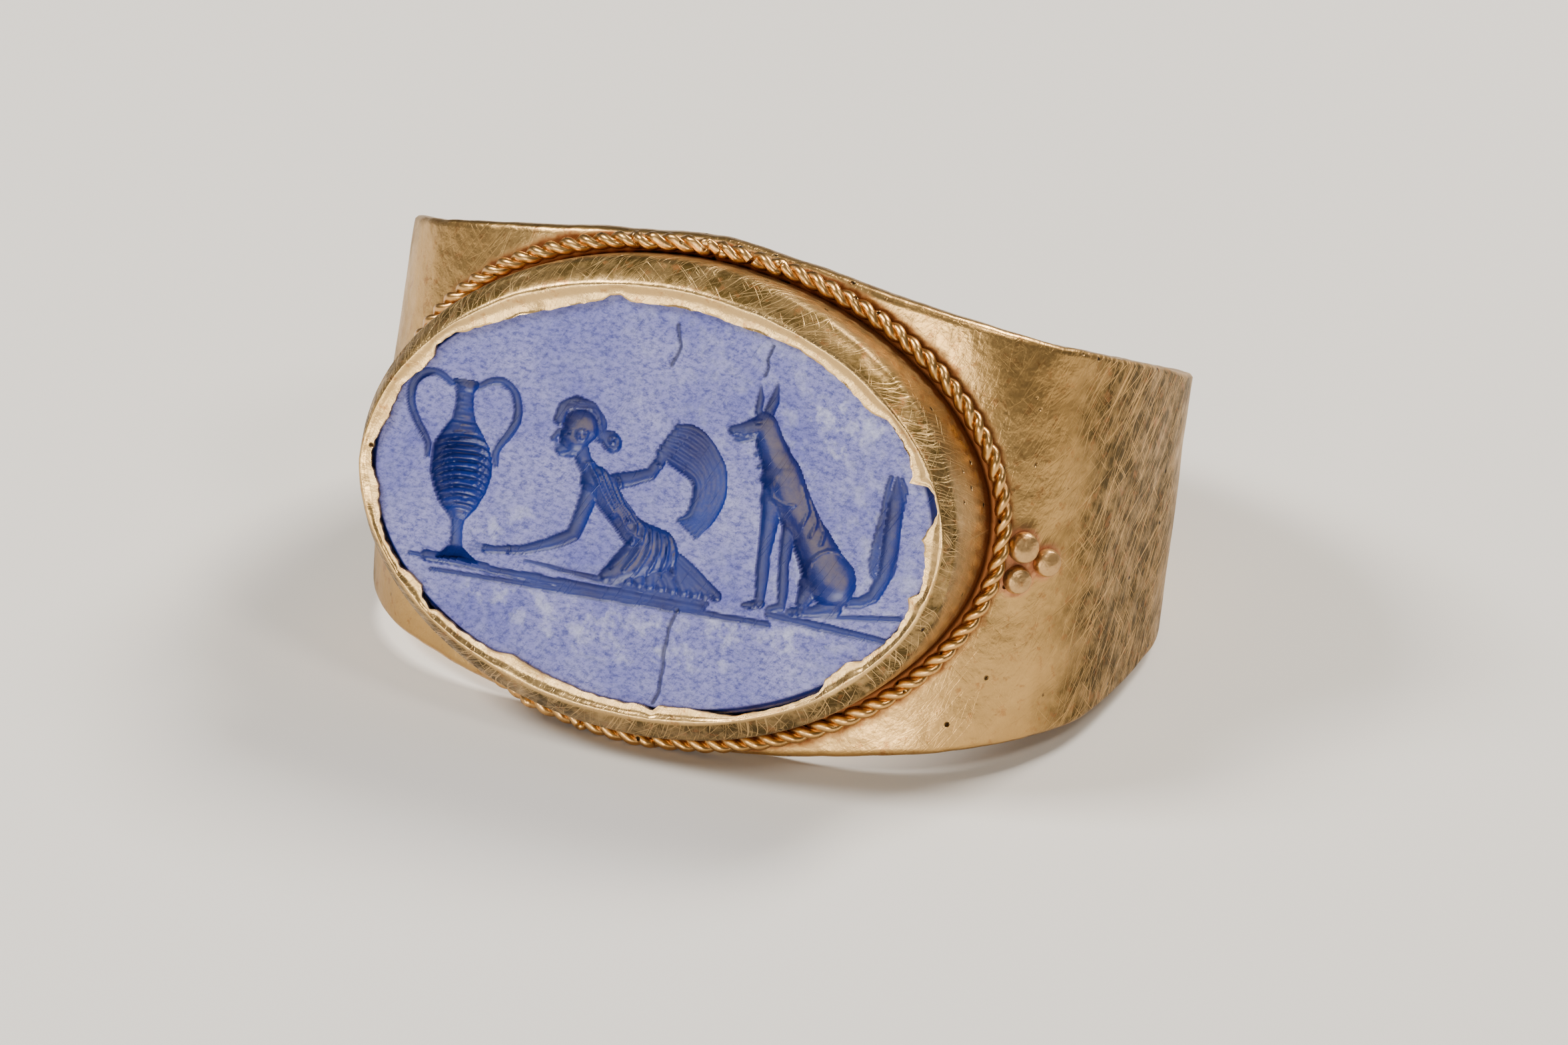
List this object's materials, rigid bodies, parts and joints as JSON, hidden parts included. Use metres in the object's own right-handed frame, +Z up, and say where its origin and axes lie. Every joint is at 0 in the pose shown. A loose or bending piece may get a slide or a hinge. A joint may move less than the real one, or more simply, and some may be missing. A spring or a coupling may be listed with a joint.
{
  "type": "finger ring with intaglio gem",
  "caption": "Wide gold band ring with a rope-bordered oval bezel holding a carved lapis gem of a jar, a kneeling figure and a hound.",
  "frame": {"origin": "on the ground plane, under the middle of the ring's box", "axes": "+Z up from the rim the ring lies on, -Y towards the bezel, +X to the right as the bezel is faced"},
  "size_m": [0.02, 0.0188, 0.0126],
  "materials": {
    "gold": "worn satin high-carat gold",
    "lapis": "polished lapis lazuli, dulled by wear"
  },
  "bodies": {
    "root": {"hoop": "gold", "bezel_collar": "gold", "rope_border": "gold", "gem": "lapis", "granule_right_upper": "gold", "granule_right_outer": "gold", "granule_right_lower": "gold", "granule_left_upper": "gold", "granule_left_outer": "gold", "granule_left_lower": "gold"}
  },
  "joints": []
}
